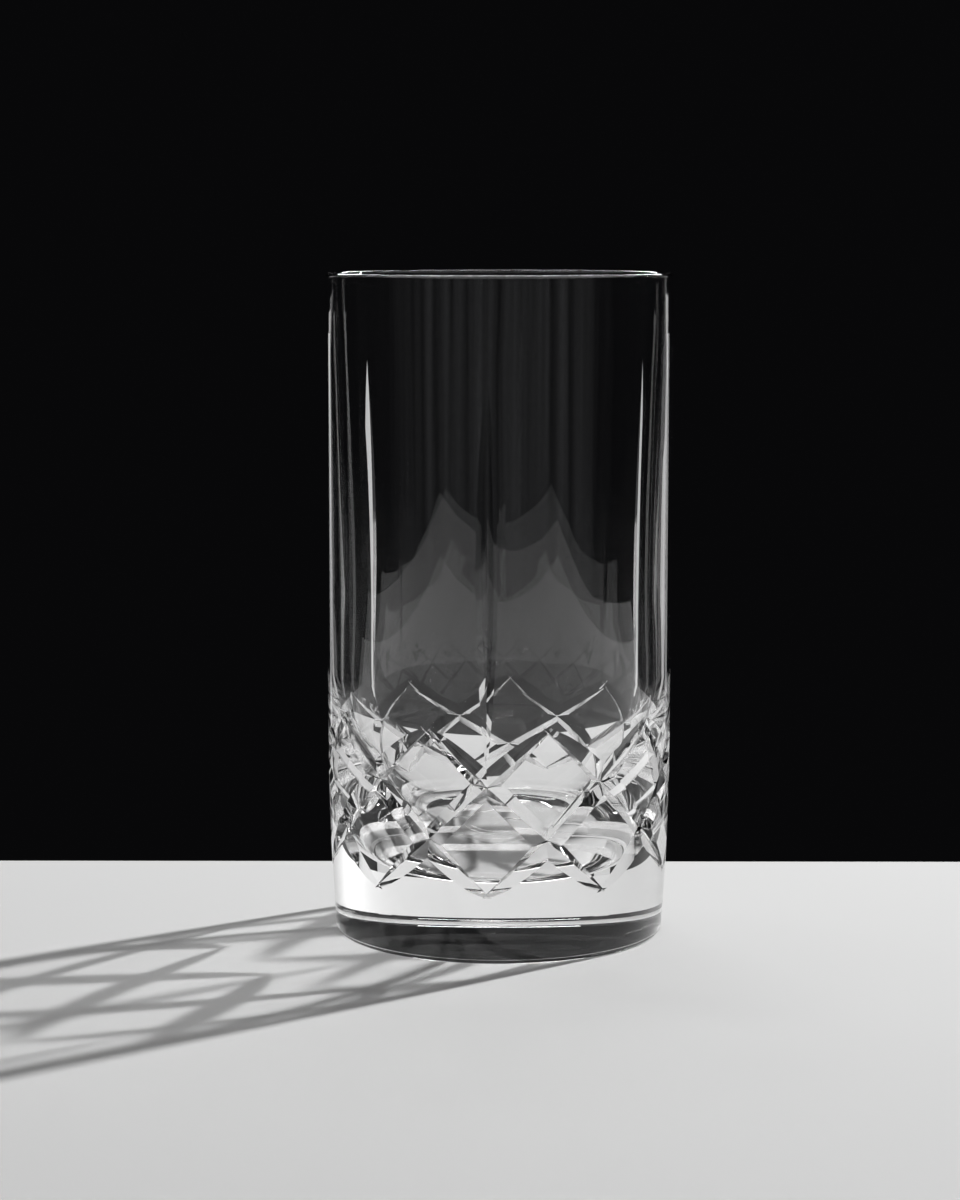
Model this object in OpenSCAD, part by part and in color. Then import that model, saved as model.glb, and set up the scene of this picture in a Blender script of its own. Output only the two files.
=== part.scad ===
// Cut crystal highball glass, standing on its foot.
// The origin is the centre of the foot on the table, +Z runs up the glass, and one flute faces -Y.
// The real glass is one piece of crystal. The nodes are its four zones, which meet face to face:
// the solid foot, the bowl with the mitre-cut lattice, the fluted wall and the fire-polished lip.

/* [Overall size] */
// Height from the table to the top of the lip
glass_h = 145; // [125:1:175]
// Outer diameter of the straight wall
wall_d = 75.5; // [66:0.5:90]
// Outer diameter of the foot, just above its rounded edge
foot_d = 72.2; // [70:0.1:75]
// Height over which the wall narrows down to the foot
narrowing_h = 43; // [30:1:60]

/* [Bowl] */
// Thickness of the wall at the lip
lip_t = 1.6; // [1.4:0.1:2.4]
// Thickness of the wall where the side of the bowl begins to draw in
lower_wall_t = 2.6; // [2.4:0.1:4]
// Thickness of the solid foot under the bowl
floor_t = 14.5; // [13:0.5:20]
// Radius of the wide curve in which the side of the bowl draws in
bowl_side_r = 60; // [50:1:80]
// Turn of that curve before the round corner begins
bowl_side_turn = 40; // [25:1:45]
// Radius of the round corner between that curve and the floor of the bowl
bowl_corner_r = 14; // [8:0.5:15]
// Height that the floor of the bowl loses between its corner and its centre
floor_dish = 0.4; // [0.2:0.1:1]

/* [Foot] */
// Radius of the rounded outer edge of the foot
foot_edge_r = 1.1; // [0.5:0.1:2.5]
// Radius of the hollow under the foot, inside its flat ring
punt_r = 29; // [20:0.5:32]
// Depth of the hollow under the foot
punt_depth = 0.9; // [0.4:0.1:2]

/* [Lattice] */
// Number of diamonds around the glass, a multiple of the flutes
diamonds = 9; // [9:3:12]
// Height of the middle of the lattice above the table
lattice_z = 32.4; // [30:0.1:36]
// Height between the upper and the lower row of crossings
crossing_rise = 11.6; // [9:0.1:13]
// Depth of a lattice cut where it is deepest
lattice_cut_depth = 1.5; // [0.8:0.1:1.8]
// Turn around the glass by which a cut runs past its first and last crossing
run_past = 2; // [1:0.5:4]
// Angle between the two sides of every mitre cut
mitre_angle = 120; // [90:1:130]

/* [Flutes] */
// Number of long upright cuts, each one ending above a crossing
flutes = 3; // [3:3:3]
// Height of the upper tip of a flute above the table
flute_top_z = 124.8; // [100:0.1:130]
// Height of the lower tip of a flute above the table
flute_tip_z = 41.2; // [40:0.1:60]
// Depth of a flute halfway down
flute_depth = 1.4; // [0.6:0.1:1.6]

/* [Zones] */
// Height of the joint line between the foot zone and the cut bowl
foot_zone_h = 12; // [10:0.1:12.6]
// Height of the joint line between the cut bowl and the fluted wall
bowl_zone_h = 54; // [53:0.5:60]
// Height of the lip zone at the top of the glass
lip_zone_h = 4; // [2:0.5:8]

/* [Hidden] */

// Fineness of round surfaces
$fn = 180;
// Steps in each rounded stretch of the outline
arc_steps = 10;
// Distance that a cutting shape runs past the ends of what it cuts
overrun = 3;
// Distance that the mouth of a mitre cut stands off the surface, so that the cutting shapes stay slim
mouth_gap = 1;
// Colour of the clear crystal
crystal = [0.86, 0.91, 0.93, 0.6];

wall_r = wall_d / 2;
foot_r = foot_d / 2;
lip_r = lip_t / 2;

// The wider of the wall and the foot
widest_r = max(wall_r, foot_r);

// The narrowing is one arc that leaves the straight wall without a corner. It widens where the foot is wider
narrowing = wall_r - foot_r;
narrowing_r = (pow(narrowing_h, 2) + pow(narrowing, 2)) / (2 * narrowing);

// Places in the pattern: a cut runs over one and a half diamonds and a little past them
pattern_step = 360 / diamonds;
half_run = pattern_step * 3 / 4 + run_past;
crossing_turn = pattern_step / 4;
flute_direction = -90;

// Outer radius of the glass at a height
function outer_r(z) = z >= narrowing_h ? wall_r
    : wall_r - narrowing_r + sign(narrowing_r) * sqrt(pow(narrowing_r, 2) - pow(narrowing_h - z, 2));

// Points along an arc from one angle to another
function arc(centre, radius, from, to) =
    [for (i = [0 : arc_steps]) centre + radius * [cos(from + (to - from) * i / arc_steps),
                                                  sin(from + (to - from) * i / arc_steps)]];

// Lean of the cuts, from the rise between two crossings a quarter step either side of the middle
root_r = outer_r(lattice_z) - lattice_cut_depth;
lean = atan(crossing_rise / 2 / (root_r * sin(crossing_turn)));

// Ends of a cut in its own leaning plane: distance along the cut, distance out from the axis
upper_end_z = lattice_z + wall_r * sin(half_run) * tan(lean);
lower_end_z = lattice_z - foot_r * sin(half_run) * tan(lean);
upper_end = [outer_r(upper_end_z) * sin(half_run) / cos(lean), outer_r(upper_end_z) * cos(half_run)];
lower_end = [-outer_r(lower_end_z) * sin(half_run) / cos(lean), outer_r(lower_end_z) * cos(half_run)];

// The root of a cut is the circle through both ends and the deepest point
upper_row = 2 * [upper_end.x, upper_end.y - root_r];
lower_row = 2 * [lower_end.x, lower_end.y - root_r];
upper_sum = upper_end * upper_end - pow(root_r, 2);
lower_sum = lower_end * lower_end - pow(root_r, 2);
row_cross = upper_row.x * lower_row.y - lower_row.x * upper_row.y;
ring_shift = (upper_sum * lower_row.y - lower_sum * upper_row.y) / row_cross;
ring_out = (upper_row.x * lower_sum - lower_row.x * upper_sum) / row_cross;
ring_r = norm([ring_shift, root_r - ring_out]);
ring_half_turn = asin((upper_end.x + overrun) / ring_r);

// A flute is cut by the rim of a wide wheel, which touches the wall between the two tips
flute_half_h = (flute_top_z - flute_tip_z) / 2;
flute_z = (flute_top_z + flute_tip_z) / 2;
wheel_r = (pow(flute_half_h, 2) + pow(flute_depth, 2)) / (2 * flute_depth);
wheel_half_turn = asin((flute_half_h + overrun) / wheel_r);

// Half of the outline of the uncut glass, from the middle of the hollow underneath round to the bowl's floor
punt_arc_r = (pow(punt_r, 2) + pow(punt_depth, 2)) / (2 * punt_depth);
punt_half_turn = asin(punt_r / punt_arc_r);
corner_step = bowl_side_r - bowl_corner_r;
bowl_side_z = floor_t + bowl_corner_r + corner_step * sin(bowl_side_turn);
bowl_side = [outer_r(bowl_side_z) - lower_wall_t - bowl_side_r, bowl_side_z];
bowl_corner = bowl_side + corner_step * [cos(bowl_side_turn), -sin(bowl_side_turn)];
dish_r = (pow(bowl_corner.x, 2) + pow(floor_dish, 2)) / (2 * floor_dish);
dish_half_turn = asin(bowl_corner.x / dish_r);
foot_edge = [outer_r(foot_edge_r) - foot_edge_r, foot_edge_r];
narrowing_turn = asin((narrowing_h - foot_edge_r) / narrowing_r);

outline = concat(
    arc([0, punt_depth - punt_arc_r], punt_arc_r, 90, 90 - punt_half_turn),
    arc(foot_edge, foot_edge_r, -90, 0),
    arc([wall_r - narrowing_r, narrowing_h], narrowing_r, -narrowing_turn, 0),
    arc([wall_r - lip_r, glass_h - lip_r], lip_r, 0, 180),
    arc(bowl_side, bowl_side_r, 0, -bowl_side_turn),
    arc(bowl_corner, bowl_corner_r, -bowl_side_turn, -90),
    arc([0, floor_t - floor_dish + dish_r], dish_r, dish_half_turn - 90, -90));

// The uncut glass, turned from its outline
module blank() {
    rotate_extrude() polygon(outline);
}

// The part of the uncut glass between two heights
module zone(from_z, to_z) {
    intersection() {
        blank();
        translate([0, 0, from_z]) cylinder(h = to_z - from_z, r = widest_r + overrun);
    }
}

// V-shaped edge of a cutting shape: its apex at one radius and its mouth at another
module mitre_edge(apex_r, mouth_r) {
    mouth_w = abs(mouth_r - apex_r) * tan(mitre_angle / 2);
    polygon([[apex_r, 0], [mouth_r, mouth_w], [mouth_r, -mouth_w]]);
}

// One lattice cut, rising towards +Y across the side of the glass that faces +X
module rising_cut() {
    translate([0, 0, lattice_z])
        rotate([lean, 0, 0])
            translate([ring_out, ring_shift, 0])
                rotate([0, 0, -ring_half_turn])
                    rotate_extrude(angle = 2 * ring_half_turn)
                        mitre_edge(ring_r, ring_r + lattice_cut_depth + mouth_gap);
}

// One family of lattice cuts, which all lean the same way
module rising_cuts() {
    for (i = [0 : diamonds - 1])
        rotate([0, 0, i * pattern_step - crossing_turn]) rising_cut();
}

// The lattice: one family rises, its mirror image falls, and they cross in two rows
module lattice_on() {
    difference() {
        difference() {
            children();
            rotate([0, 0, flute_direction]) rising_cuts();
        }
        rotate([0, 0, flute_direction]) mirror([0, 1, 0]) rising_cuts();
    }
}

// The long upright cuts, each one straight above a crossing of the upper row
module flute_cuts() {
    for (i = [0 : flutes - 1])
        rotate([0, 0, flute_direction + i * 360 / flutes])
            translate([wall_r - flute_depth + wheel_r, 0, flute_z])
                rotate([90, 0, 0])
                    rotate([0, 0, 180 - wheel_half_turn])
                        rotate_extrude(angle = 2 * wheel_half_turn)
                            mitre_edge(wheel_r, wheel_r - flute_depth - mouth_gap);
}

// Solid foot with its rounded edge, flat ring and shallow hollow underneath
module foot() {
    color(crystal) zone(-overrun, foot_zone_h);
}

// Lower bowl with its floor, round corner and lattice
module cut_bowl() {
    color(crystal) difference() {
        lattice_on() zone(foot_zone_h, bowl_zone_h);
        flute_cuts();
    }
}

// Straight wall with the upper stretch of the flutes
module fluted_wall() {
    color(crystal) difference() {
        zone(bowl_zone_h, glass_h - lip_zone_h);
        flute_cuts();
    }
}

// Rounded lip
module lip() {
    color(crystal) zone(glass_h - lip_zone_h, glass_h + overrun);
}

foot();
cut_bowl();
fluted_wall();
lip();
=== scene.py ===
import math

import bpy
import numpy as np
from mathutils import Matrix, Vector


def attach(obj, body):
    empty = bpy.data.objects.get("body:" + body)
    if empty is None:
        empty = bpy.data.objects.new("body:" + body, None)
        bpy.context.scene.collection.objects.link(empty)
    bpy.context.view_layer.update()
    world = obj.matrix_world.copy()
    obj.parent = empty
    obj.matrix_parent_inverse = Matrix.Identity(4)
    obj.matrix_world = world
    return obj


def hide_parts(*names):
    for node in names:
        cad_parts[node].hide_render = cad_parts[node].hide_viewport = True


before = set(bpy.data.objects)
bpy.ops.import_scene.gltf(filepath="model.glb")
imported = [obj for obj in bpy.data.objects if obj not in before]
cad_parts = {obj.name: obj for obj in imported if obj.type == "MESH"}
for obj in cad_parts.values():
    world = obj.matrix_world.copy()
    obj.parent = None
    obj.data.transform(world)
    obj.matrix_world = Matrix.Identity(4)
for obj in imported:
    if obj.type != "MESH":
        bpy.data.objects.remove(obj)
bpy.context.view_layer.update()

MM = 0.001

# Sizes of the glass in millimetres, as in the CAD model
GLASS_H = 145.0
WALL_R = 37.75
FOOT_R = 36.1
NARROWING_H = 43.0
LIP_T = 1.6
LOWER_WALL_T = 2.6
FLOOR_T = 14.5
BOWL_SIDE_R = 60.0
BOWL_SIDE_TURN = 40.0
BOWL_CORNER_R = 14.0
FLOOR_DISH = 0.4
FOOT_EDGE_R = 1.1
PUNT_R = 29.0
PUNT_DEPTH = 0.9

# The lattice of mitre cuts and the flutes
DIAMONDS = 9
LATTICE_Z = 32.4
CROSSING_RISE = 11.6
CUT_DEPTH = 1.5
RUN_PAST = 2.0
HALF_MITRE = math.radians(60)
FLUTES = 3
FLUTE_TOP_Z = 124.8
FLUTE_TIP_Z = 41.2
FLUTE_DEPTH = 1.4
FLUTE_DIRECTION = -90.0

# Waves in the fire-polished inside of the wall, which bend what is seen through it.
# Each one has its number round the glass, its start in degrees, its lean and its share of the depth.
WAVE_DEPTH = 0.09
WAVES = [(2, 40.0, 0.045, 1.0), (5, 110.0, -0.031, 0.55), (13, 15.0, 0.02, 0.2)]
# Narrow draw lines that sway from side to side
DRAW_LINES = 47
DRAW_SWAYS = 3
DRAW_SWAY = 4
DRAW_SHARE = 0.02
# Heights between which the waves grow, and the calm stretch and the fading below the lip
WAVE_START_Z = 55.0
WAVE_RISE = 20.0
CALM_LIP_H = 4.0
WAVE_FADE = 15.0

# Fineness of the mesh
COLUMNS = 30
FLANK_ROWS = 4
TIP_FLANK_ROWS = 2
FLAT_ROWS = 5
FOOT_ROWS = 8
WALL_ROW_H = 1.9
TOP_ROWS = 6
LIP_STEPS = 10
INSIDE_STEPS = 26
BOWL_STEPS = 12
DISH_STEPS = 5
RING_STEPS = 2
EDGE_STEPS = 6
# Distance in millimetres within which two points are one
WELD = 0.0005

# Rounds of the searches, and where they look: millimetres beside a cut, degrees beside a flute
NEWTON_ROUNDS = 7
HALVINGS = 40
EDGE_ROUNDS = 30
CUT_REACH = 8.0
FLUTE_REACH = 8.0
NEAR_TURN = 0.01
TINY = 1e-4
# Small steps in degrees or millimetres, over which a slope is measured
NUDGE = 0.01
WAVE_NUDGE = 0.1
# Width over which the columns beside a flute give way, as a multiple of half its width
BLEND_SPAN = 3

# Camera in the photograph's frame of 960 by 1200 pixels
PHOTO_LONG_SIDE = 1200
FOCAL_PIXELS = 2936.7
SENSOR_MM = 36.0
CAMERA_OUT = 642.2
CAMERA_UP = 155.5
CAMERA_ASIDE = -0.4
CAMERA_TURN = 4.02
CAMERA_YAW = -0.34
CAMERA_PITCH = 7.30
CLIP_NEAR = 0.01
CLIP_FAR = 20.0

# Pale table, in millimetres from the middle of the glass. Its rear stretch shows only through the glass
TABLE_BACK = 66.0
TABLE_REAR = 91.0
TABLE_FRONT = 640.0
TABLE_SIDE = 500.0
TABLE_COLOUR = (0.585, 0.585, 0.585, 1.0)
TABLE_ROUGHNESS = 0.7
TABLE_SPECULAR = 0.2

# Dark backdrop, and the dim uneven room on the camera's side, which only the glass shows
BACKDROP_COLOUR = (0.0025, 0.0025, 0.0028, 1.0)
ROOM_COLOUR = (0.11, 0.11, 0.113, 1.0)
ROOM_BEGINS = -0.05
ROOM_FULL = -0.6
ROOM_SCALE = 9.0
ROOM_STRETCH = (1.0, 1.0, 0.15)
ROOM_DARKEST = 0.35
ROOM_LIGHTEST = 0.65

# Lamps: name, place to the right, behind and above, width and height, all in metres, power in watts
LAMPS = [("key_lamp", (2.1, 1.62, 1.42), (0.1, 0.1), 165.0),
         ("overhead_softbox", (-0.1, 0.35, 1.2), (0.7, 0.1), 1.6),
         ("left_card", (-0.535, 1.074, -0.14), (0.12, 0.46), 0.11),
         ("right_card", (0.618, 1.029, -0.14), (0.12, 0.46), 0.11),
         ("rear_strip", (0.0, 1.15, 0.64), (1.0, 0.12), 5.5)]
LAMP_AIM_Z = 0.06

# Crystal. The marks have a scale, a stretch and a height in metres. Through light is what
# reaches the table through a surface that faces the lamp, down to the last value at its edges
CRYSTAL_IOR = 1.54
MARK_DETAIL = 3.0
FACING_BEGINS = 0.56
FACING_ENDS = 0.74
EDGE_LIGHT = 0.04
POLISHED = {"roughness": 0.012, "scale": 60.0, "stretch": (1.0, 1.0, 0.08), "height": 0.00001,
            "through_light": 0.97}
CUT_FINISH = {"roughness": 0.02, "scale": 400.0, "stretch": (1.0, 1.0, 1.0), "height": 0.000004,
              "through_light": 0.2}

# Bounces of light inside the glass and between its surfaces
INNER_BOUNCES = 24
GLOSSY_BOUNCES = 12

STEP = 360.0 / DIAMONDS
HALF_STEP = STEP / 2
CROSSING_TURN = STEP / 4
HALF_RUN = STEP * 3 / 4 + RUN_PAST
NARROWING = WALL_R - FOOT_R
NARROWING_R = (NARROWING_H**2 + NARROWING**2) / (2 * NARROWING)
# The flutes are cut only above this height
FLUTE_LOWEST_Z = NARROWING_H - 2


def sin(degrees):
    """Sine of an angle in degrees."""
    return np.sin(np.radians(degrees))


def cos(degrees):
    """Cosine of an angle in degrees."""
    return np.cos(np.radians(degrees))


def outer_r(z):
    """Radius of the uncut outside at a height."""
    below = np.maximum(NARROWING_H - z, 0.0)
    return WALL_R - NARROWING_R + np.sqrt(NARROWING_R**2 - below**2)


def circle_through(a, b, c):
    """Centre and radius of the circle through three points."""
    rows = 2 * np.array([[a[0] - c[0], a[1] - c[1]], [b[0] - c[0], b[1] - c[1]]])
    sums = np.array([a @ a - c @ c, b @ b - c @ c])
    centre = np.linalg.solve(rows, sums)
    return centre, float(np.hypot(*(centre - c)))


def cut_ring():
    """Lean of a lattice cut and the circle of its root, in the leaning plane."""
    root_r = float(outer_r(LATTICE_Z)) - CUT_DEPTH
    lean = math.atan(CROSSING_RISE / 2 / (root_r * sin(CROSSING_TURN)))
    ends = []
    for side, run_r in ((1, WALL_R), (-1, FOOT_R)):
        z = LATTICE_Z + side * run_r * sin(HALF_RUN) * math.tan(lean)
        r = float(outer_r(z))
        ends.append(np.array([side * r * sin(HALF_RUN) / math.cos(lean), r * cos(HALF_RUN)]))
    centre, radius = circle_through(ends[0], ends[1], np.array([0.0, root_r]))
    return lean, centre[0], centre[1], radius


LEAN, RING_SHIFT, RING_OUT, RING_R = cut_ring()
SIN_LEAN, COS_LEAN = math.sin(LEAN), math.cos(LEAN)
SLOPE = 1 / math.tan(HALF_MITRE)


class Cut:
    """One lattice cut: the turn of its middle, and whether it rises (1) or falls (-1) to the right."""

    def __init__(self, middle, rises):
        self.middle, self.rises = middle, rises

    def local(self, theta):
        """Turn from the middle of the cut, counted the way in which it rises."""
        return self.rises * (theta - self.middle)

    def side_r(self, side):
        """The function that gives the radius of one side of the cut, 1 above and -1 below its root."""

        def radius(theta, z):
            phi = self.local(theta)
            r = np.full(np.broadcast(phi, z).shape, WALL_R)
            for _ in range(NEWTON_ROUNDS):
                along = r * sin(phi) * COS_LEAN + (z - LATTICE_Z) * SIN_LEAN - RING_SHIFT
                out = r * cos(phi) - RING_OUT
                off = -r * sin(phi) * SIN_LEAN + (z - LATTICE_Z) * COS_LEAN
                ring = np.hypot(along, out)
                f = ring - RING_R - side * off * SLOPE
                df = (out * cos(phi) + along * sin(phi) * COS_LEAN) / ring
                r = r - f / (df + side * sin(phi) * SIN_LEAN * SLOPE)
            return r

        return radius

    def root(self, theta):
        """Radius and height of the root of the cut."""
        phi = self.local(theta)
        r = np.full(np.shape(phi), WALL_R - CUT_DEPTH)
        for _ in range(NEWTON_ROUNDS):
            along = r * sin(phi) / COS_LEAN - RING_SHIFT
            out = r * cos(phi) - RING_OUT
            f = np.hypot(along, out) - RING_R
            r = r - f * (f + RING_R) / (along * sin(phi) / COS_LEAN + out * cos(phi))
        return r, LATTICE_Z + r * sin(phi) * math.tan(LEAN)

    def depth(self, theta):
        """Depth of the cut, below zero past its ends."""
        r, z = self.root(theta)
        return outer_r(z) - r

    def edge(self, theta, side):
        """Height at which one side of the cut meets the uncut outside."""
        radius = self.side_r(side)
        near = self.root(theta)[1]
        far = near + side * CUT_REACH
        for _ in range(HALVINGS):
            middle = (near + far) / 2
            inside = radius(theta, middle) < outer_r(middle)
            near, far = np.where(inside, middle, near), np.where(inside, far, middle)
        return near


def bisect(f, low, high):
    """Where f changes sign between low and high."""
    sign = f(low) > 0
    for _ in range(HALVINGS):
        middle = (low + high) / 2
        if (f(middle) > 0) == sign:
            low = middle
        else:
            high = middle
    return (low + high) / 2


# The cuts that cross half a step of the pattern, from a crossing of the upper row (0) to the next tip
CUT_UP = Cut(-CROSSING_TURN, 1)
CUT_DOWN = Cut(CROSSING_TURN, -1)
CUT_LOW = Cut(3 * CROSSING_TURN, 1)
TIP_HIGH = Cut(HALF_STEP + 3 * CROSSING_TURN, -1)
TIP_LOW = Cut(-3 * CROSSING_TURN, -1)
HIGH_END = bisect(lambda t: float(TIP_HIGH.depth(t)), HALF_STEP - 2 * RUN_PAST, HALF_STEP)
LOW_END = bisect(lambda t: float(TIP_LOW.depth(t)), 0.0, 2 * RUN_PAST)
HIGH_END_Z = float(TIP_HIGH.root(HIGH_END)[1])
LOW_END_Z = float(TIP_LOW.root(LOW_END)[1])
CUTS = [TIP_LOW, CUT_LOW, CUT_DOWN, CUT_UP, TIP_HIGH]


def crease(lower, upper, theta):
    """Where the upper side of one cut meets the lower side of the cut above it."""
    low_side, high_side = lower.side_r(1), upper.side_r(-1)
    low, high = lower.root(theta)[1], upper.root(theta)[1]
    for _ in range(HALVINGS):
        middle = (low + high) / 2
        nearer_low = low_side(theta, middle) < high_side(theta, middle)
        low, high = np.where(nearer_low, middle, low), np.where(nearer_low, high, middle)
    return (low + high) / 2


def corner_turn(lower, upper, a, b):
    """Turn at which the flat between two neighbouring cuts begins."""
    def gap(t):
        t = np.array([t])
        return float((upper.edge(t, -1) - lower.edge(t, 1))[0])
    return bisect(gap, a, b)


def base_columns():
    """Turns of the columns over half a step, with a column at every corner of the pattern."""
    turns = np.linspace(0.0, HALF_STEP, COLUMNS + 1)
    marks = [HIGH_END, LOW_END,
             corner_turn(TIP_LOW, CUT_LOW, 2 * NEAR_TURN, LOW_END),
             corner_turn(CUT_LOW, CUT_DOWN, CROSSING_TURN, HALF_STEP - NEAR_TURN),
             corner_turn(CUT_DOWN, CUT_UP, NEAR_TURN, CROSSING_TURN),
             corner_turn(CUT_UP, TIP_HIGH, HIGH_END, HALF_STEP - 2 * NEAR_TURN)]
    for mark in marks:
        turns[1 + np.argmin(np.abs(turns[1:-1] - mark))] = mark
    return np.sort(turns)


TURNS = base_columns()

# A flute is the edge of a wide wheel that touches the wall between its two tips
FLUTE_HALF_H = (FLUTE_TOP_Z - FLUTE_TIP_Z) / 2
FLUTE_Z = (FLUTE_TOP_Z + FLUTE_TIP_Z) / 2
WHEEL_R = (FLUTE_HALF_H**2 + FLUTE_DEPTH**2) / (2 * FLUTE_DEPTH)
WHEEL_OUT = WALL_R - FLUTE_DEPTH + WHEEL_R


def flute_r(theta, z):
    """Radius of the side of a flute that lies at positive turns."""
    r = np.full(np.broadcast(theta, z).shape, WALL_R - FLUTE_DEPTH)
    for _ in range(NEWTON_ROUNDS):
        out = r * cos(theta) - WHEEL_OUT
        reach = np.hypot(out, z - FLUTE_Z)
        f = reach + r * sin(theta) * SLOPE - WHEEL_R
        r = r - f / (out * cos(theta) / reach + sin(theta) * SLOPE)
    return r


def flute_turn(z):
    """Turn of the flute's edge at a height, or 0 past its tips."""
    low, high = np.zeros(np.shape(z)), np.full(np.shape(z), FLUTE_REACH)
    for _ in range(HALVINGS):
        middle = (low + high) / 2
        inside = flute_r(middle, z) < outer_r(z)
        low, high = np.where(inside, middle, low), np.where(inside, high, middle)
    return np.where(np.abs(z - FLUTE_Z) < FLUTE_HALF_H, low, 0.0)


FLUTE_WIDEST = float(flute_turn(np.array([FLUTE_Z]))[0])
FLUTE_COLUMN = int(np.argmin(np.abs(TURNS - FLUTE_WIDEST)))
BLEND_COLUMN = int(np.argmin(np.abs(TURNS - BLEND_SPAN * FLUTE_WIDEST)))


def beside_flute(turns, z):
    """Turns moved so that one column follows the edge of the flute."""
    edge, blend = TURNS[FLUTE_COLUMN], TURNS[BLEND_COLUMN]
    width = flute_turn(z)
    inner = turns * width / edge
    outer = width + (turns - edge) * (blend - width) / (blend - edge)
    moved = np.where(turns <= edge, inner, np.where(turns < blend, outer, turns))
    return np.where(np.abs(z - FLUTE_Z) <= FLUTE_HALF_H, moved, turns)


def plain(theta, z):
    """Radius of the uncut outside at a turn and a height."""
    return outer_r(z) + 0 * theta


class Strip:
    """Rows of half a step of the outside, from the foot to the lip: turns, heights and surfaces."""

    def __init__(self, fluted, first_row):
        self.fluted = fluted
        self.rows = [first_row]
        self.surfaces = []

    def band(self, surface, low, high, steps):
        """Adds rows from one row of turns and heights, which is there already, up to another."""
        for i in range(1, steps + 1):
            share = i / steps
            theta = low[0] * (1 - share) + high[0] * share
            z = low[1] * (1 - share) + high[1] * share
            self.rows.append((theta, z))
            self.surfaces.append(surface)


def cut_heights():
    """Heights of the lower edge, the root and the upper edge of every cut, up to the cuts beside it."""
    lows = {cut: cut.edge(TURNS, -1) for cut in CUTS}
    roots = {cut: cut.root(TURNS)[1] for cut in CUTS}
    highs = {cut: cut.edge(TURNS, 1) for cut in CUTS}
    ends = ((TIP_LOW, TURNS < LOW_END, LOW_END_Z), (TIP_HIGH, TURNS > HIGH_END, HIGH_END_Z))
    for cut, there, end_z in ends:
        for place in (lows, roots, highs):
            place[cut] = np.where(there, place[cut], end_z)
    for lower, upper in zip(CUTS, CUTS[1:]):
        over = highs[lower] > lows[upper] - TINY
        meet = crease(lower, upper, TURNS)
        highs[lower] = np.where(over, meet, highs[lower])
        lows[upper] = np.where(over, meet, lows[upper])
    return lows, roots, highs


def edge_beside_flute(high):
    """Upper edge of the cut under a flute, with one column at the edge of the flute."""
    near = TURNS < TURNS[BLEND_COLUMN]
    theta = TURNS.copy()
    for _ in range(EDGE_ROUNDS):
        theta = np.where(near, beside_flute(TURNS, CUT_UP.edge(theta, 1)), TURNS)
    return theta, np.where(near, CUT_UP.edge(theta, 1), high)


def wall_heights():
    """Heights of the rows above the lattice, up to the lip."""
    return np.concatenate([
        np.arange(HIGH_END_Z, FLUTE_TOP_Z, WALL_ROW_H)[1:-1],
        [FLUTE_TOP_Z - WALL_ROW_H / 2, FLUTE_TOP_Z],
        np.linspace(FLUTE_TOP_Z, GLASS_H - LIP_T / 2, TOP_ROWS + 1)[1:]])


def outside_strip(fluted):
    """All rows of half a step of the outside, and the surface between each two rows."""
    lows, roots, highs = cut_heights()
    below = (TURNS, np.full(len(TURNS), FOOT_EDGE_R))
    strip = Strip(fluted, below)
    for cut in CUTS:
        low, root, top = (TURNS, lows[cut]), (TURNS, roots[cut]), (TURNS, highs[cut])
        if cut is CUT_UP and fluted:
            top = edge_beside_flute(highs[cut])
        flank_rows = TIP_FLANK_ROWS if cut in (TIP_LOW, TIP_HIGH) else FLANK_ROWS
        strip.band("wall" if cut is TIP_HIGH else "plain", below, low,
                   FOOT_ROWS if cut is TIP_LOW else FLAT_ROWS)
        strip.band(cut.side_r(-1), low, root, flank_rows)
        strip.band(cut.side_r(1), root, top, flank_rows)
        below = top
    for height in wall_heights():
        above = (TURNS, np.full(len(TURNS), height))
        strip.band("wall", below, above, 1)
        below = above
    if fluted:
        for i in range(strip.surfaces.index("wall") + 1, len(strip.rows)):
            z = strip.rows[i][1]
            strip.rows[i] = (beside_flute(TURNS, z), z)
    return strip


def strip_points(strip):
    """Turn, height and radius of every point of a strip, as rows by columns."""
    theta = np.array([row[0] for row in strip.rows])
    z = np.array([row[1] for row in strip.rows])
    r = outer_r(z)
    if strip.fluted:
        r = np.where(z > FLUTE_LOWEST_Z, np.minimum(r, flute_r(theta, z)), r)
    for i, surface in enumerate(strip.surfaces):
        if not isinstance(surface, str):
            for k in (i, i + 1):
                r[k] = np.minimum(r[k], surface(theta[k], z[k]))
    return theta, z, r


def surface_normal(surface, theta, z):
    """Outward unit normal of a surface given as radius over turn and height."""
    r = surface(theta, z)
    r_turn = (surface(theta + NUDGE, z) - surface(theta - NUDGE, z)) / (2 * math.radians(NUDGE))
    r_up = (surface(theta, z + NUDGE) - surface(theta, z - NUDGE)) / (2 * NUDGE)
    along = np.stack([r_turn * cos(theta) - r * sin(theta), r_turn * sin(theta) + r * cos(theta),
                      np.zeros_like(r)], -1)
    up = np.stack([r_up * cos(theta), r_up * sin(theta), np.ones_like(r)], -1)
    n = np.cross(along, up)
    return n / np.linalg.norm(n, axis=-1, keepdims=True)


def set_normals(normals, theta, z, row, surface, keep):
    """Sets the corner normals of one row of faces, where keep is true, from their surface."""
    for corner, (k, shift) in enumerate(((row, 0), (row, 1), (row + 1, 1), (row + 1, 0))):
        columns = slice(shift, len(TURNS) - 1 + shift)
        n = surface_normal(surface, theta[k][columns], z[k][columns])
        normals[row, keep, corner] = n[keep]


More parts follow.
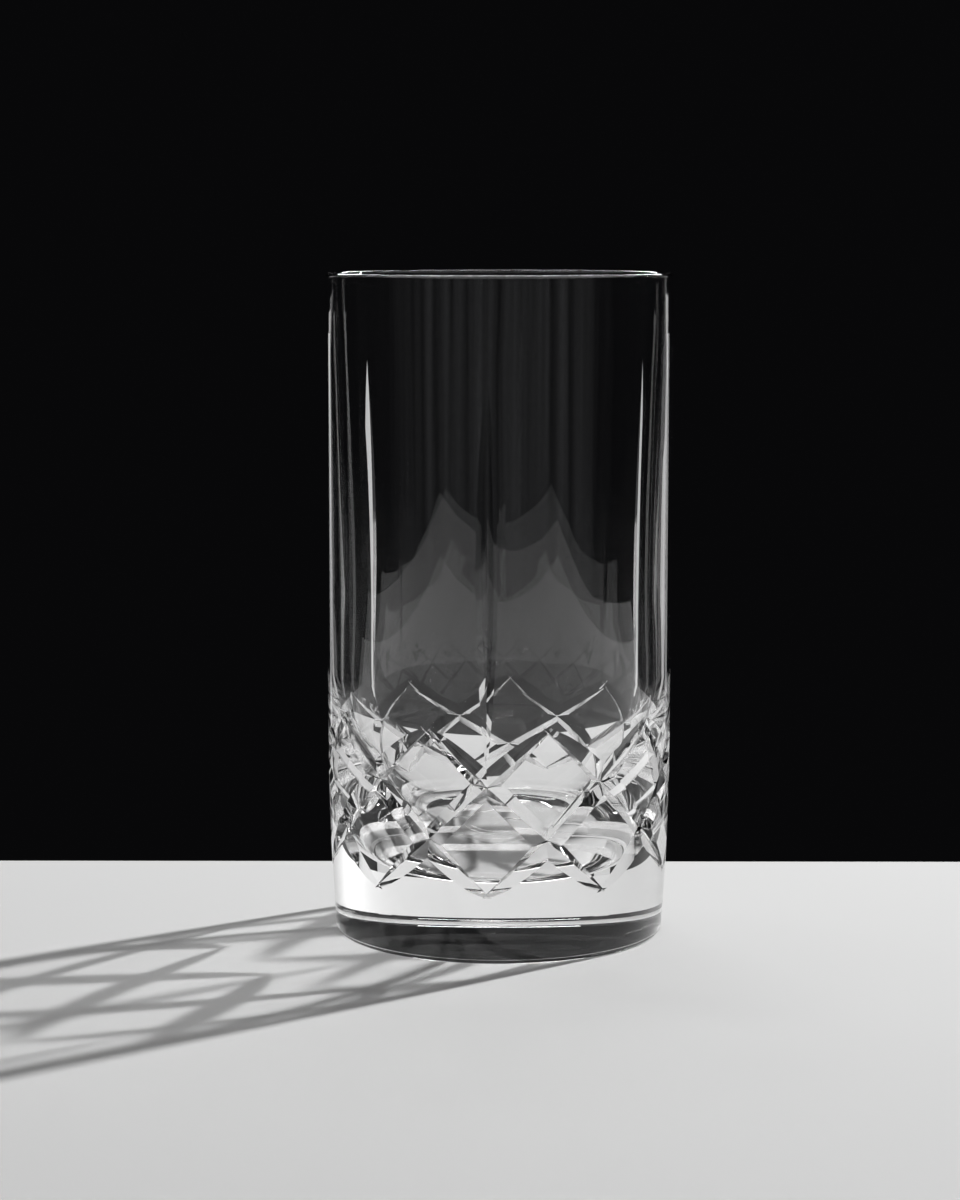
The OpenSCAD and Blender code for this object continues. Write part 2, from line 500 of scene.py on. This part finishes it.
def strip_faces(strip):
    """Points of a strip, the corner normals of its faces, and which faces are cut."""
    theta, z, r = strip_points(strip)
    columns = len(TURNS) - 1
    normals = np.zeros((len(strip.surfaces), columns, 4, 3))
    cut = np.zeros((len(strip.surfaces), columns), bool)
    for i, surface in enumerate(strip.surfaces):
        is_cut = not isinstance(surface, str)
        set_normals(normals, theta, z, i, surface if is_cut else plain, np.ones(columns, bool))
        cut[i] = is_cut
        if surface == "wall" and strip.fluted:
            middle = (z[i] + z[i + 1])[:-1] / 2
            in_flute = np.abs(middle - FLUTE_Z) < FLUTE_HALF_H
            in_flute &= np.arange(columns) < FLUTE_COLUMN
            set_normals(normals, theta, z, i, flute_r, in_flute)
            cut[i] |= in_flute
    return theta, z, r, normals, cut


def profile_arc(centre, radius, start, end, steps, flip=1):
    """Points and normals along an arc of the outline. flip is -1 where the glass is outside the arc."""
    angles = np.linspace(start, end, steps + 1)
    n = np.stack([cos(angles), sin(angles)], -1)
    return np.array(centre) + radius * n, flip * n


def profile_line(a, b, steps):
    """Points and normals along a straight stretch, with the glass to the left of the way along it."""
    share = np.linspace(0, 1, steps + 1)[:, None]
    way = np.array(b) - np.array(a)
    n = np.array([way[1], -way[0]]) / np.hypot(*way)
    return np.array(a) * (1 - share) + np.array(b) * share, np.repeat(n[None], steps + 1, 0)


def inner_wave(turn, z):
    """Slight waves of the inside of the wall, in millimetres."""
    rise = np.clip((z - WAVE_START_Z) / WAVE_RISE, 0, 1)
    fade = np.clip((GLASS_H - CALM_LIP_H - z) / WAVE_FADE, 0, 1)
    waves = sum(np.sin(np.radians(number * turn + start) + z * lean) * share
                for number, start, lean, share in WAVES)
    sway = np.sin(np.radians(DRAW_SWAYS * turn)) * DRAW_SWAY
    drawn = np.sin(np.radians(DRAW_LINES * turn) + sway) * DRAW_SHARE
    return WAVE_DEPTH * (rise * fade) * (waves + drawn)


def turned_stretches():
    """Outline stretches that are turned round the axis: from the lip over the inside and the underside."""
    lip_r = LIP_T / 2
    corner_z = FLOOR_T + BOWL_CORNER_R
    past = BOWL_SIDE_R - BOWL_CORNER_R
    side_z = corner_z + past * float(sin(BOWL_SIDE_TURN))
    side_x = float(outer_r(side_z)) - LOWER_WALL_T - BOWL_SIDE_R
    corner_x = side_x + past * float(cos(BOWL_SIDE_TURN))
    dish_r = (corner_x**2 + FLOOR_DISH**2) / (2 * FLOOR_DISH)
    dish_turn = math.degrees(math.asin(corner_x / dish_r))
    punt_arc = (PUNT_R**2 + PUNT_DEPTH**2) / (2 * PUNT_DEPTH)
    punt_turn = math.degrees(math.asin(PUNT_R / punt_arc))
    edge_x = float(outer_r(FOOT_EDGE_R)) - FOOT_EDGE_R
    yield profile_arc((WALL_R - lip_r, GLASS_H - lip_r), lip_r, 0, 180, LIP_STEPS), False
    bowl_top = (side_x + BOWL_SIDE_R, side_z)
    yield profile_line((WALL_R - LIP_T, GLASS_H - lip_r), bowl_top, INSIDE_STEPS), True
    yield profile_arc((side_x, side_z), BOWL_SIDE_R, 0, -BOWL_SIDE_TURN, BOWL_STEPS, -1), False
    yield profile_arc((corner_x, corner_z), BOWL_CORNER_R, -BOWL_SIDE_TURN, -90, BOWL_STEPS, -1), False
    dish = (0, FLOOR_T - FLOOR_DISH + dish_r)
    yield profile_arc(dish, dish_r, dish_turn - 90, -90, DISH_STEPS, -1), False
    punt = (0, PUNT_DEPTH - punt_arc)
    yield profile_arc(punt, punt_arc, 90, 90 - punt_turn, DISH_STEPS, -1), False
    yield profile_line((PUNT_R, 0), (edge_x, 0), RING_STEPS), False
    yield profile_arc((edge_x, FOOT_EDGE_R), FOOT_EDGE_R, -90, 0, EDGE_STEPS), False


class Builder:
    """Collects faces with the normal and the finish of every corner, and joins equal points."""

    def __init__(self):
        self.points, self.normals, self.cuts = [], [], []

    def grid(self, points, normals, cut):
        """A grid of points and the corner normals of its faces, both given as rows by columns."""
        corners = [points[:-1, :-1], points[:-1, 1:], points[1:, 1:], points[1:, :-1]]
        self.points.append(np.stack(corners, 2).reshape(-1, 4, 3))
        self.normals.append(normals.reshape(-1, 4, 3))
        self.cuts.append(np.broadcast_to(cut, normals.shape[:2]).reshape(-1))

    def mesh(self, name):
        """The mesh of all faces, with equal points joined and faces without area left out."""
        points = np.concatenate(self.points) * MM
        normals = np.concatenate(self.normals)
        cuts = np.concatenate(self.cuts)
        keys = np.round(points.reshape(-1, 3) / (WELD * MM)).astype(np.int64)
        _, first, index = np.unique(keys, axis=0, return_index=True, return_inverse=True)
        verts = points.reshape(-1, 3)[first]
        index = index.reshape(-1, 4)
        faces, corner_normals, finish = [], [], []
        for corners, directions, cut in zip(index.tolist(), normals, cuts.tolist()):
            keep = [i for i in range(4) if corners[i] != corners[i - 1]]
            if len({corners[i] for i in keep}) < 3:
                continue
            faces.append([corners[i] for i in keep])
            corner_normals.extend(directions[keep])
            finish.append(1 if cut else 0)
        mesh = bpy.data.meshes.new(name)
        mesh.from_pydata(verts.tolist(), [], faces)
        mesh.polygons.foreach_set("use_smooth", [True] * len(faces))
        mesh.polygons.foreach_set("material_index", finish)
        mesh.normals_split_custom_set(np.array(corner_normals).tolist())
        return mesh


def turned(theta, z, r, base, side):
    """Points in space from turns, heights and radii, turned to a sector and mirrored for side -1."""
    azimuth = base + side * theta
    return np.stack([r * cos(azimuth), r * sin(azimuth), z], -1)


def turn_normals(normals, base, side):
    """Normals given around turn 0, turned to a sector and mirrored for side -1."""
    n = normals * np.array([1, side, 1])
    c, s = math.cos(math.radians(base)), math.sin(math.radians(base))
    return np.stack([n[..., 0] * c - n[..., 1] * s, n[..., 0] * s + n[..., 1] * c, n[..., 2]], -1)


def add_outside(builder):
    """Adds the outside with the lattice and the flutes, sector by sector."""
    strips = {fluted: strip_faces(outside_strip(fluted)) for fluted in (False, True)}
    for sector in range(DIAMONDS):
        base = FLUTE_DIRECTION + sector * STEP
        theta, z, r, normals, cut = strips[sector % (DIAMONDS // FLUTES) == 0]
        for side in (1, -1):
            points = turned(theta, z, r, base, side)
            corner_normals = turn_normals(normals, base, side)
            if side < 0:
                points = points[:, ::-1]
                corner_normals = corner_normals[:, ::-1][:, :, [1, 0, 3, 2]]
                builder.grid(points, corner_normals, cut[:, ::-1])
            else:
                builder.grid(points, corner_normals, cut)


def all_turns():
    """Every column round the glass, closed."""
    half = np.concatenate([-TURNS[::-1], TURNS[1:]])
    ring = [FLUTE_DIRECTION + sector * STEP + half[:-1] for sector in range(DIAMONDS)]
    return np.concatenate(ring + [[FLUTE_DIRECTION + DIAMONDS * STEP - HALF_STEP]])


def wave_slopes(turns, z):
    """Slopes of the waves round the glass and up it."""
    d = WAVE_NUDGE
    round_it = (inner_wave(turns + d, z) - inner_wave(turns - d, z)) / (2 * math.radians(d))
    return round_it, (inner_wave(turns, z + d) - inner_wave(turns, z - d)) / (2 * d)


def add_turned(builder):
    """Adds the lip, the inside and the underside, turned from their outline."""
    turns = all_turns()
    for (outline, flat_normals), waves in turned_stretches():
        r = np.repeat(outline[:, 0][:, None], len(turns), 1)
        z = np.repeat(outline[:, 1][:, None], len(turns), 1)
        nr = np.repeat(flat_normals[:, 0][:, None], len(turns), 1)
        nz = np.repeat(flat_normals[:, 1][:, None], len(turns), 1)
        nt = np.zeros_like(nr)
        if waves:
            slope_round, slope_up = wave_slopes(turns, z)
            r = r + inner_wave(turns, z)
            nt = -slope_round / r * nr
            nz = nz - slope_up * nr
        n = np.stack([nr * cos(turns) - nt * sin(turns), nr * sin(turns) + nt * cos(turns), nz], -1)
        n /= np.linalg.norm(n, axis=-1, keepdims=True)
        corners = np.stack([n[:-1, :-1], n[:-1, 1:], n[1:, 1:], n[1:, :-1]], 2)
        builder.grid(np.stack([r * cos(turns), r * sin(turns), z], -1), corners, False)


def new_material(name):
    """An empty material with its nodes and links."""
    material = bpy.data.materials.new(name)
    material.use_nodes = True
    material.node_tree.nodes.clear()
    return material, material.node_tree.nodes, material.node_tree.links


def add_marks(nodes, links, glass, finish):
    """Faint polishing marks or draw lines in the roughness and the normal of the crystal."""
    place = nodes.new("ShaderNodeTexCoord")
    stretch = nodes.new("ShaderNodeMapping")
    stretch.inputs["Scale"].default_value = finish["stretch"]
    marks = nodes.new("ShaderNodeTexNoise")
    marks.inputs["Scale"].default_value = finish["scale"]
    marks.inputs["Detail"].default_value = MARK_DETAIL
    roughness = nodes.new("ShaderNodeMapRange")
    roughness.inputs["To Min"].default_value = 0.0
    roughness.inputs["To Max"].default_value = finish["roughness"]
    bump = nodes.new("ShaderNodeBump")
    bump.inputs["Strength"].default_value = 1.0
    bump.inputs["Distance"].default_value = finish["height"]
    links.new(place.outputs["Object"], stretch.inputs["Vector"])
    links.new(stretch.outputs["Vector"], marks.inputs["Vector"])
    links.new(marks.outputs["Fac"], roughness.inputs["Value"])
    links.new(roughness.outputs["Result"], glass.inputs["Roughness"])
    links.new(marks.outputs["Fac"], bump.inputs["Height"])
    links.new(bump.outputs["Normal"], glass.inputs["Normal"])


def through_light(nodes, links, finish):
    """Transparent shader that lets lamps through the crystal, less so at its edges."""
    clear = nodes.new("ShaderNodeBsdfTransparent")
    edge = nodes.new("ShaderNodeLayerWeight")
    edge.inputs["Blend"].default_value = 0.5
    dimming = nodes.new("ShaderNodeMapRange")
    dimming.inputs["From Min"].default_value = FACING_BEGINS
    dimming.inputs["From Max"].default_value = FACING_ENDS
    dimming.inputs["To Min"].default_value = finish["through_light"]
    dimming.inputs["To Max"].default_value = EDGE_LIGHT
    links.new(edge.outputs["Facing"], dimming.inputs["Value"])
    links.new(dimming.outputs["Result"], clear.inputs["Color"])
    return clear


def crystal_material(name, finish):
    """Clear crystal, which casts only the light shadow of glass."""
    material, nodes, links = new_material(name)
    out = nodes.new("ShaderNodeOutputMaterial")
    glass = nodes.new("ShaderNodeBsdfPrincipled")
    glass.inputs["Base Color"].default_value = (1.0, 1.0, 1.0, 1.0)
    glass.inputs["Transmission Weight"].default_value = 1.0
    glass.inputs["IOR"].default_value = CRYSTAL_IOR
    add_marks(nodes, links, glass, finish)
    clear = through_light(nodes, links, finish)
    path = nodes.new("ShaderNodeLightPath")
    mix = nodes.new("ShaderNodeMixShader")
    links.new(path.outputs["Is Shadow Ray"], mix.inputs["Fac"])
    links.new(glass.outputs["BSDF"], mix.inputs[1])
    links.new(clear.outputs["BSDF"], mix.inputs[2])
    links.new(mix.outputs["Shader"], out.inputs["Surface"])
    return material


def crystal_glass():
    """The whole glass as one piece, which stands for all four zones of the CAD model."""
    builder = Builder()
    add_outside(builder)
    add_turned(builder)
    mesh = builder.mesh("crystal_glass")
    piece = bpy.data.objects.new("crystal_glass", mesh)
    bpy.context.scene.collection.objects.link(piece)
    mesh.materials.append(crystal_material("polished_crystal", POLISHED))
    mesh.materials.append(crystal_material("cut_crystal", CUT_FINISH))
    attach(piece, "root")
    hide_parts("foot", "cut_bowl", "fluted_wall", "lip")


def table_material():
    """Matt pale paint."""
    material, nodes, links = new_material("pale_table")
    out = nodes.new("ShaderNodeOutputMaterial")
    paint = nodes.new("ShaderNodeBsdfPrincipled")
    paint.inputs["Base Color"].default_value = TABLE_COLOUR
    paint.inputs["Roughness"].default_value = TABLE_ROUGHNESS
    paint.inputs["Specular IOR Level"].default_value = TABLE_SPECULAR
    links.new(paint.outputs["BSDF"], out.inputs["Surface"])
    return material


def table_part(name, front, back, material):
    """Stretch of the pale table top between two distances, given as seen from the camera."""
    corners = [(-TABLE_SIDE, front), (TABLE_SIDE, front), (TABLE_SIDE, back), (-TABLE_SIDE, back)]
    points = [turned_place(x * MM, y * MM, 0.0) for x, y in corners]
    mesh = bpy.data.meshes.new(name)
    mesh.from_pydata(points, [], [(0, 1, 2, 3)])
    mesh.materials.append(material)
    top = bpy.data.objects.new(name, mesh)
    bpy.context.scene.collection.objects.link(top)
    return top


def table():
    """Pale table that ends just behind the glass. Seen through the foot it ends a little later."""
    material = table_material()
    table_part("table_top", -TABLE_FRONT, TABLE_BACK, material)
    rear = table_part("table_rear", TABLE_BACK, TABLE_REAR, material)
    rear.visible_camera = False


def uneven_room(nodes, links):
    """Dim uneven shapes on the camera's side of the room, as a share of the room's colour."""
    way = nodes.new("ShaderNodeTexCoord")
    parts = nodes.new("ShaderNodeSeparateXYZ")
    ahead = nodes.new("ShaderNodeMapRange")
    ahead.interpolation_type = "SMOOTHSTEP"
    ahead.inputs["From Min"].default_value = ROOM_BEGINS
    ahead.inputs["From Max"].default_value = ROOM_FULL
    stretch = nodes.new("ShaderNodeMapping")
    stretch.inputs["Scale"].default_value = ROOM_STRETCH
    shapes = nodes.new("ShaderNodeTexNoise")
    shapes.inputs["Scale"].default_value = ROOM_SCALE
    contrast = nodes.new("ShaderNodeMapRange")
    contrast.inputs["From Min"].default_value = ROOM_DARKEST
    contrast.inputs["From Max"].default_value = ROOM_LIGHTEST
    both = nodes.new("ShaderNodeMath")
    both.operation = "MULTIPLY"
    links.new(way.outputs["Generated"], parts.inputs["Vector"])
    links.new(parts.outputs["Y"], ahead.inputs["Value"])
    links.new(way.outputs["Generated"], stretch.inputs["Vector"])
    links.new(stretch.outputs["Vector"], shapes.inputs["Vector"])
    links.new(shapes.outputs["Fac"], contrast.inputs["Value"])
    links.new(unseen(nodes, links, ahead.outputs["Result"]), both.inputs[0])
    links.new(contrast.outputs["Result"], both.inputs[1])
    return both.outputs["Value"]


def unseen(nodes, links, share):
    """A share that is zero where the camera looks straight at the room."""
    path = nodes.new("ShaderNodeLightPath")
    difference = nodes.new("ShaderNodeMath")
    difference.operation = "SUBTRACT"
    difference.use_clamp = True
    links.new(share, difference.inputs[0])
    links.new(path.outputs["Is Camera Ray"], difference.inputs[1])
    return difference.outputs["Value"]


def room():
    """Dark world with a dim uneven room on the camera's side."""
    world = bpy.data.worlds.new("dark_room")
    world.use_nodes = True
    bpy.context.scene.world = world
    nodes, links = world.node_tree.nodes, world.node_tree.links
    background = nodes["Background"]
    background.inputs["Strength"].default_value = 1.0
    colour = nodes.new("ShaderNodeMix")
    colour.data_type = "RGBA"
    colour.inputs["A"].default_value = BACKDROP_COLOUR
    colour.inputs["B"].default_value = ROOM_COLOUR
    links.new(uneven_room(nodes, links), colour.inputs["Factor"])
    links.new(colour.outputs["Result"], background.inputs["Color"])


def turned_place(right, back, up):
    """A place given as seen from the camera, in metres."""
    turn = math.radians(CAMERA_TURN)
    x = right * math.cos(turn) - back * math.sin(turn)
    y = right * math.sin(turn) + back * math.cos(turn)
    return Vector((x, y, up))


def lamp(name, place, size, power):
    """Rectangular lamp that shines at the glass and that the camera doesn't see."""
    data = bpy.data.lights.new(name, "AREA")
    data.shape = "RECTANGLE"
    data.size, data.size_y = size
    data.energy = power
    light = bpy.data.objects.new(name, data)
    light.location = turned_place(*place)
    light.rotation_mode = "QUATERNION"
    way = Vector((0, 0, LAMP_AIM_Z)) - light.location
    light.rotation_quaternion = way.to_track_quat("-Z", "Y")
    light.visible_camera = False
    bpy.context.scene.collection.objects.link(light)


def camera():
    """Camera at the photograph's viewing angle."""
    data = bpy.data.cameras.new("camera")
    data.sensor_width = SENSOR_MM
    data.lens = FOCAL_PIXELS / PHOTO_LONG_SIDE * SENSOR_MM
    data.clip_start, data.clip_end = CLIP_NEAR, CLIP_FAR
    seat = bpy.data.objects.new("camera", data)
    seat.location = turned_place(CAMERA_ASIDE * MM, -CAMERA_OUT * MM, CAMERA_UP * MM)
    yaw, pitch = math.radians(CAMERA_YAW), math.radians(CAMERA_PITCH)
    ahead = turned_place(math.sin(yaw) * math.cos(pitch), math.cos(yaw) * math.cos(pitch),
                         -math.sin(pitch))
    seat.rotation_mode = "QUATERNION"
    seat.rotation_quaternion = ahead.to_track_quat("-Z", "Y")
    bpy.context.scene.collection.objects.link(seat)
    bpy.context.scene.camera = seat


camera()
crystal_glass()
table()
room()
for lamp_values in LAMPS:
    lamp(*lamp_values)

scene = bpy.context.scene
scene.view_settings.view_transform = "Standard"
scene.cycles.max_bounces = INNER_BOUNCES
scene.cycles.transmission_bounces = INNER_BOUNCES
scene.cycles.glossy_bounces = GLOSSY_BOUNCES
scene.cycles.transparent_max_bounces = INNER_BOUNCES
scene.cycles.caustics_refractive = False
